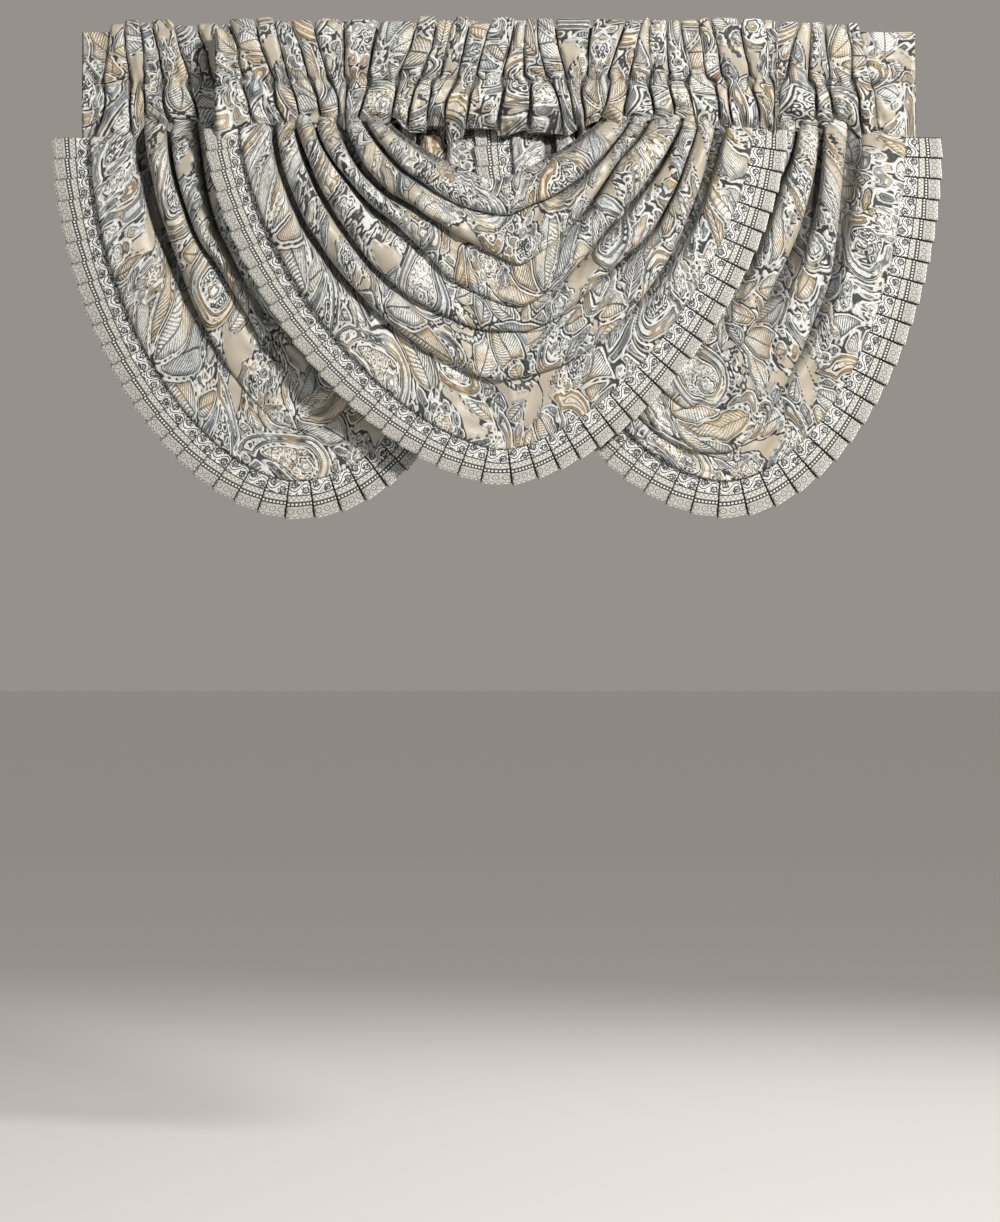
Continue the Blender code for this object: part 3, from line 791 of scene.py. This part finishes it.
def weave_design(obj, along, up, *painted_slot_shades):
    """Stores for the material the design, and the shade painted at each point of both faces by how deep
    in a slot it is.
    """
    for name, values in zip(("edge", "drawing", "tint", "fill"), design(along, up)):
        store(obj, name, "FLOAT_VECTOR", "vector", np.stack([values, values]))
    store(obj, "painted_slot_shade", "FLOAT", "value", np.stack(painted_slot_shades))


# ---------------- material arithmetic


def feed(tree, node, inputs):
    """Gives a node its inputs, by name or place: each a Number, a socket, a value or a colour."""
    for place, value in inputs.items():
        value = value.socket if isinstance(value, Number) else value
        if isinstance(value, bpy.types.NodeSocket):
            tree.links.new(value, node.inputs[place])
        else:
            node.inputs[place].default_value = value
    return node


class Number:
    """A number at each point of the surface: a node socket that Python's arithmetic works on."""

    def __init__(self, tree, socket):
        self.tree, self.socket = tree, socket

    def math(self, operation, *others):
        node = self.tree.nodes.new("ShaderNodeMath")
        node.operation = operation
        feed(self.tree, node, dict(enumerate((self, *others))))
        return Number(self.tree, node.outputs[0])

    def __add__(self, other):
        return self.math("ADD", other)

    def __sub__(self, other):
        return self.math("SUBTRACT", other)

    def __mul__(self, other):
        return self.math("MULTIPLY", other)

    def __abs__(self):
        return self.math("ABSOLUTE")

    __radd__, __rmul__ = __add__, __mul__

    def __rsub__(self, other):
        return (self * -1.0).math("ADD", other)

    def fraction(self):
        return self.math("FRACT")

    def greater(self, other):
        return self.math("MAXIMUM", other)

    def power(self, exponent):
        return self.math("POWER", exponent)

    def wave(self, length):
        """From 0 to 1 and back over each length."""
        return (self * (2 * math.pi / length)).math("SINE") * 0.5 + 0.5

    def ramp(self, low, high):
        """0 at low, 1 at high and smooth between them. Where low is above high, it falls."""
        node = self.tree.nodes.new("ShaderNodeMapRange")
        node.interpolation_type = "SMOOTHSTEP"
        (start, below), (end, above) = sorted([(low, 0.0), (high, 1.0)])
        span = {"From Min": start, "From Max": end, "To Min": below, "To Max": above}
        feed(self.tree, node, {"Value": self, **span})
        return Number(self.tree, node.outputs["Result"])

    def line(self, at, half_width, soft=0.6):
        """1 within half_width of a value, falling to 0 a little further out."""
        return abs(self - at).ramp(half_width * (1 + soft), half_width * (1 - soft))


class Cloth:
    """A Principled cloth material and the nodes that its looks are worked out with."""

    def __init__(self, name):
        self.material = bpy.data.materials.new(name)
        self.material.use_nodes = True
        self.tree = self.material.node_tree
        self.shader = self.tree.nodes["Principled BSDF"]
        self.uv = self.tree.nodes.new("ShaderNodeUVMap")
        self.uv.uv_map = "UVMap"

    def number(self, socket):
        return Number(self.tree, socket)

    def node(self, kind, inputs):
        return feed(self.tree, self.tree.nodes.new(kind), inputs)

    def split(self, socket):
        node = self.node("ShaderNodeSeparateXYZ", {0: socket})
        return [self.number(output) for output in node.outputs]

    def stored(self, name, output="Vector"):
        node = self.tree.nodes.new("ShaderNodeAttribute")
        node.attribute_name = name
        return node.outputs[output]

    def vector(self, operation, inputs):
        node = self.tree.nodes.new("ShaderNodeVectorMath")
        node.operation = operation
        return feed(self.tree, node, inputs)

    def uv_scaled(self, x, y):
        return self.vector("MULTIPLY", {0: self.uv.outputs["UV"], 1: (x, y, 1.0)}).outputs[0]

    def noise(self, scale, detail=1.0, distortion=0.0, stretch=(1.0, 1.0)):
        """Noise about 0.5, with scale bumps in a unit of UV."""
        amounts = {"Scale": scale, "Detail": detail, "Distortion": distortion}
        place = self.uv_scaled(*stretch)
        node = self.node("ShaderNodeTexNoise", {"Vector": place, **amounts})
        return self.number(node.outputs["Fac"])

    def cells(self, scale):
        place = self.uv.outputs["UV"]
        node = self.node("ShaderNodeTexVoronoi", {"Vector": place, "Scale": scale})
        return self.number(node.outputs["Distance"])

    def mix(self, first, second, share):
        """A colour between two colours, each one a tuple or a socket."""
        node = self.tree.nodes.new("ShaderNodeMix")
        node.data_type = "RGBA"
        first, second = (
            (*colour, 1.0) if isinstance(colour, tuple) else colour for colour in (first, second)
        )
        return feed(self.tree, node, {"Factor": share, 6: first, 7: second}).outputs[2]

    def length(self, socket):
        return self.number(self.vector("LENGTH", {0: socket}).outputs["Value"])

    def shade(self, colour, amount):
        """A colour multiplied by a number."""
        return self.vector("SCALE", {0: colour, "Scale": amount}).outputs[0]

    def finish(self, colour, roughness, height, bump):
        relief = {"Strength": 1.0, "Distance": bump, "Height": height}
        normal = self.node("ShaderNodeBump", relief).outputs["Normal"]
        looks = {"Base Color": colour, "Roughness": roughness, "Normal": normal}
        feed(self.tree, self.shader, {**looks, "Sheen Weight": SHEEN, "Sheen Roughness": SHEEN_SPREAD})
        return self.material


SHEEN, SHEEN_SPREAD = 0.2, 0.4
PAINTED_SHADE_STRENGTH = 0.78  # painted shade: how much darker the cloth is painted at the bottom of a slot between folds
ECHO_PITCH, VEIN_PITCH = 0.0058, 0.0060  # from one engraved line to the next
WEAVE = 900.0  # bumps in a metre


def paisley_material():
    """Jacquard: motifs drawn in ink with white rims and engraved lines, on a satin ground, with painted
    shade near the motifs' outlines and in the slots between folds.
    """
    cloth = Cloth("paisley_cloth")
    depth = cloth.length(cloth.stored("edge"))
    run, side, ground = cloth.split(cloth.stored("drawing"))
    echo, veins, curls = cloth.split(cloth.stored("fill"))
    figure = 1.0 - ground
    tint = cloth.stored("tint")
    dark_figure = cloth.split(tint)[1].ramp(0.30, 0.18) * figure
    not_dark = 1.0 - dark_figure
    wobble = cloth.noise(150.0, 2.0) - 0.5
    wash = cloth.noise(13.0, 2.0)
    patchy = cloth.noise(31.0, 2.0)
    depth = depth + wobble * 0.0010
    strength = cloth.noise(17.0, 1.0).ramp(0.34, 0.62) * 0.55 + 0.45
    lines = depth.wave(ECHO_PITCH).ramp(0.52, 0.86)
    slant = (run + abs(side) * 0.8 + wobble * 0.004).wave(VEIN_PITCH).ramp(0.58, 0.92)
    rib = abs(side).ramp(0.0018, 0.0009)
    rings = (cloth.cells(70.0) + wobble * 0.6).wave(0.34).ramp(0.45, 0.80)
    squiggle = cloth.noise(105.0, 1.0, 1.0).wave(0.18).ramp(0.45, 0.75)
    engraving = cloth.noise(64.0, 1.0, 1.4).wave(0.125).ramp(0.62, 0.92)
    tint = cloth.mix(tint, PALE_BLUE, wash.ramp(0.50, 0.58) * 0.75 * echo)
    tint = cloth.mix(tint, GOLD, wash.ramp(0.48, 0.40) * 0.60 * (echo + veins) * not_dark)
    colour = cloth.mix(tint, WHITE, figure * depth.ramp(0.004, 0.012) * 0.55 * not_dark)
    # Painted shade: a patchy slate shade near each motif's outline, standing in for the motifs' relief.
    outline_shade = depth.ramp(0.012, 0.003) * patchy.ramp(0.40, 0.60)
    colour = cloth.mix(colour, SLATE, figure * outline_shade * 0.70)
    ink = cloth.mix(INK, SLATE, patchy.ramp(0.55, 0.80))
    pen = cloth.mix(ink, WHITE, dark_figure)
    thin = cloth.mix(pen, BROWN, wash.ramp(0.51, 0.44) * not_dark * 0.85)
    colour = cloth.mix(colour, thin, lines * echo * strength)
    colour = cloth.mix(colour, thin, (slant * strength).greater(rib) * veins * 0.9)
    colour = cloth.mix(colour, thin, engraving * figure * not_dark * 0.45)
    colour = cloth.mix(colour, ink, squiggle * curls * 0.90)
    colour = cloth.mix(colour, WHITE, rings * curls * 0.80)
    rim = depth.ramp(0.0040, 0.0030) * figure
    inner = depth.line(0.0044, 0.0006) * figure
    outline = depth.ramp(0.0016, 0.0009)
    colour = cloth.mix(colour, WHITE, rim * 0.66)
    colour = cloth.mix(colour, ink, (inner * strength).greater(outline) * 0.97)
    threads = cloth.noise(WEAVE, 1.0, 0.0, (1.0, 0.35))
    # Painted shade: darkens the cloth in the slots between folds.
    painted_slot_shade = cloth.number(cloth.stored("painted_slot_shade", "Fac"))
    colour = cloth.shade(colour, (threads * 0.24 + 0.88) * (1.0 - painted_slot_shade * PAINTED_SHADE_STRENGTH))
    roughness = 0.66 - ground * 0.28
    dark = (lines * echo).greater(slant * veins).greater(squiggle * curls)
    puff = figure * depth.ramp(-0.001, 0.007)
    height = puff + figure * 0.3 + threads * 0.15 - dark * 0.35 - outline * 0.6
    return cloth.finish(colour, roughness, height, bump=0.0024)


# The print's own units: one pleat is so many wide, and the border so many from its seam to its edge.
PRINT_ACROSS, PRINT_DOWN = 38.0, 66.0
PRINT_WHITE, CREAM, BEIGE = (0.77, 0.76, 0.72), (0.60, 0.575, 0.51), (0.53, 0.505, 0.45)
PRINT_INK, PLAIT_INK, LACE_INK = (0.020, 0.022, 0.024), (0.05, 0.05, 0.048), (0.10, 0.095, 0.085)
# Painted shade along the pleats' folded edges.
PLEAT_SHADE_COLOUR = (0.010, 0.010, 0.010)


def border_material():
    """The border's printed bands: x runs across each pleat, and y from the seam to the edge."""
    cloth = Cloth("border_cloth")
    along, across = cloth.split(cloth.uv.outputs["UV"])[:2]
    x = along.fraction() * PRINT_ACROSS
    y = across * PRINT_DOWN
    wobble = (cloth.noise(9.0, 2.0, 0.0, (1.0, 1.7)) - 0.5) * 1.6

    def distance(x, cx, cy):
        return ((x - cx).power(2.0) + (y - cy).power(2.0)).power(0.5) + wobble * 0.4

    vine = y - 13.5 - (along * (2 * math.pi)).math("SINE") * 6.5 + wobble * 0.8
    leaves = cloth.noise(4.6, 0.6, 1.3, (1.0, 1.75)).wave(0.26).ramp(0.40, 0.60)
    scroll = leaves * vine.line(0.0, 3.2, 0.2).math("LESS_THAN", 0.5)
    scroll = scroll.greater(vine.line(0.0, 1.2, 0.4))
    for cx, cy in ((9.5, 8.4), (28.5, 18.6)):
        flower = distance(x, cx, cy)
        scroll = scroll.greater(flower.line(4.6, 1.2, 0.5)).greater(flower.line(0.0, 1.7, 0.5))
    scroll = scroll * y.line(14.0, 12.4, 0.03)
    third = (along * 3.0).fraction() * (PRINT_ACROSS / 3.0)
    loop = distance(third, 6.3, 54.0)
    lace = loop.line(4.2, 0.9, 0.5).greater(loop.ramp(1.6, 0.9))
    net = cloth.noise(9.0, 0.5, 0.5, (1.0, 1.75)).wave(0.2).ramp(0.60, 0.85)
    lace = lace.greater(net * loop.ramp(5.2, 6.0) * 0.8)
    lobes = y - 62.6 - abs((along * 5.0 * math.pi).math("SINE")) * 2.8
    plait = y - 32.2 - (along * (10 * math.pi)).math("SINE") * 2.4
    beads = (along * 7.0).fraction().line(0.5, 0.27, 0.25) * y.line(41.8, 1.5, 0.25)
    colour = cloth.mix(PRINT_WHITE, CREAM, y.ramp(26.6, 27.2))
    colour = cloth.mix(colour, BEIGE, y.ramp(45.0, 45.6))
    colour = cloth.mix(colour, PRINT_INK, scroll * 0.97)
    colour = cloth.mix(colour, PLAIT_INK, plait.line(0.0, 1.0, 0.4) * 0.85)
    colour = cloth.mix(colour, LACE_INK, lace * y.line(53.8, 8.2, 0.04) * 0.85)
    colour = cloth.mix(colour, PRINT_WHITE, lobes.ramp(-0.6, 0.0))
    colour = cloth.mix(colour, PRINT_INK, lobes.line(-0.9, 0.7, 0.5) * 0.75)
    for at, half, dark in ((0.6, 1.5, 0.96), (27.0, 1.2, 0.95), (37.2, 0.6, 0.70)):
        colour = cloth.mix(colour, PRINT_INK, (y + wobble * 0.2).line(at, half, 0.4) * dark)
    colour = cloth.mix(colour, PRINT_INK, y.line(41.8, 4.0, 0.08) * 0.98)
    colour = cloth.mix(colour, PRINT_WHITE, beads)
    # Painted shade along each pleat's folded edge, fainter over the first dozen pleats than further
    # round the border.
    pleat_edge_shade = along.fraction().ramp(0.935, 0.955).greater(along.fraction().ramp(0.040, 0.028))
    colour = cloth.mix(colour, PLEAT_SHADE_COLOUR, pleat_edge_shade * (along.ramp(12.0, 24.0) * 0.50 + 0.45))
    threads = cloth.noise(46.0, 1.0, 0.0, (1.0, 1.8))
    colour = cloth.shade(colour, threads * 0.14 + 0.93)
    roughness = 0.72 - scroll * 0.05
    height = threads * 0.4 + lace * 0.3 - scroll * 0.3
    return cloth.finish(colour, roughness, height, bump=0.00025)


# ---------------- studio

PHOTO_SCALE = 0.001785  # metres in the valance's plane for one pixel of the photograph
PHOTO_WIDTH, PHOTO_HEIGHT = 1000, 1222
ORIGIN_PIXEL = (497.5, 22.0)  # where the photograph shows the frame's origin
CAMERA_DISTANCE = 9.0
FLOOR_Z, FLOOR_HALF = -2.15, 60.0
FLOOR_COLOUR = (0.50, 0.49, 0.47, 1.0)
STUDIO_COLOUR = (0.90, 0.83, 0.76, 1.0)
BACKDROP_SEEN, BACKDROP_LIGHT = 0.34, 0.07  # the studio is seen brighter than it lights the cloth
FLOOR_SEEN = 0.26
LIGHTS_AIM = Vector((0.0, 0.0, -0.4))
Light = namedtuple("Light", "name location size power colour")
LIGHTS = (
    Light("key", (2.4, -3.4, 1.5), 0.5, 280.0, (1.0, 0.985, 0.955)),
    Light("fill", (-2.0, -4.2, 0.8), 1.4, 38.0, (0.93, 0.97, 1.0)),
    Light("back", (1.4, 3.4, 1.6), 1.4, 150.0, (1.0, 0.99, 0.97)),
)


def area_light(name, location, size, power, colour):
    light = bpy.data.lights.new(name, "AREA")
    light.shape = "DISK"
    light.size, light.energy, light.color = size, power, colour
    obj = add_object(name, light)
    obj.location = location
    aim = LIGHTS_AIM - Vector(location)
    obj.rotation_euler = aim.to_track_quat("-Z", "Y").to_euler()


def seen_brighter(tree, seen, lights):
    """A strength that is higher for the camera's own rays: a pale studio, and yet deep folds."""
    rays = tree.nodes.new("ShaderNodeLightPath")
    return Number(tree, rays.outputs["Is Camera Ray"]).math("MULTIPLY_ADD", seen - lights, lights)


def build_studio():
    mesh = bpy.data.meshes.new("floor")
    corners = [(FLOOR_HALF * x, FLOOR_HALF * y, 0) for x, y in ((-1, -1), (1, -1), (1, 1), (-1, 1))]
    mesh.from_pydata(corners, [], [(0, 1, 2, 3)])
    floor = add_object("floor", mesh)
    floor.location.z = FLOOR_Z
    material = bpy.data.materials.new("pale_floor")
    material.use_nodes = True
    tree = material.node_tree
    surface = {"Base Color": FLOOR_COLOUR, "Roughness": 0.9}
    strength = seen_brighter(tree, FLOOR_SEEN, 0.0)
    glow = {"Emission Color": STUDIO_COLOUR, "Emission Strength": strength}
    feed(tree, tree.nodes["Principled BSDF"], {**surface, **glow})
    mesh.materials.append(material)
    for light in LIGHTS:
        area_light(*light)
    world = bpy.data.worlds.new("studio")
    world.use_nodes = True
    tree = world.node_tree
    strength = seen_brighter(tree, BACKDROP_SEEN, BACKDROP_LIGHT)
    feed(tree, tree.nodes["Background"], {"Color": STUDIO_COLOUR, "Strength": strength})
    bpy.context.scene.world = world
    bpy.context.scene.view_settings.view_transform = "Standard"


def build_camera():
    camera = bpy.data.cameras.new("camera")
    camera.lens = camera.sensor_width * CAMERA_DISTANCE / (PHOTO_HEIGHT * PHOTO_SCALE)
    obj = add_object("camera", camera)
    x = (0.5 * PHOTO_WIDTH - ORIGIN_PIXEL[0]) * PHOTO_SCALE
    z = (ORIGIN_PIXEL[1] - 0.5 * PHOTO_HEIGHT) * PHOTO_SCALE
    obj.location = (x, -CAMERA_DISTANCE, z)
    obj.rotation_euler = (math.radians(90.0), 0.0, 0.0)
    bpy.context.scene.camera = obj


# ---------------- the valance

# The size each sheet was cut to before it was hung, with its area where the cut isn't a rectangle.
FlatCut = namedtuple("FlatCut", "width length area held")


def dress(obj, node):
    """Parents a sheet to the root and says which solid it stands for."""
    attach(obj, "root")
    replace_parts(obj, node)


paisley_cloth, border_cloth = paisley_material(), border_material()
for swag in (SWAG_LEFT, SWAG_CENTRE, SWAG_RIGHT):
    dress(build_swag(swag, paisley_cloth), swag.node)
    dress(build_border(swag, border_cloth), swag.border)
for heading in (HEADING_LEFT, HEADING_CENTRE, HEADING_RIGHT):
    dress(build_heading(heading, paisley_cloth), heading.node)
build_studio()
build_camera()

bpy.context.view_layer.update()
box = np.array(
    [
        piece.matrix_world @ vertex.co
        for piece in bpy.context.scene.objects
        if piece.type == "MESH" and "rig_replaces" in piece
        for vertex in piece.data.vertices
    ]
)
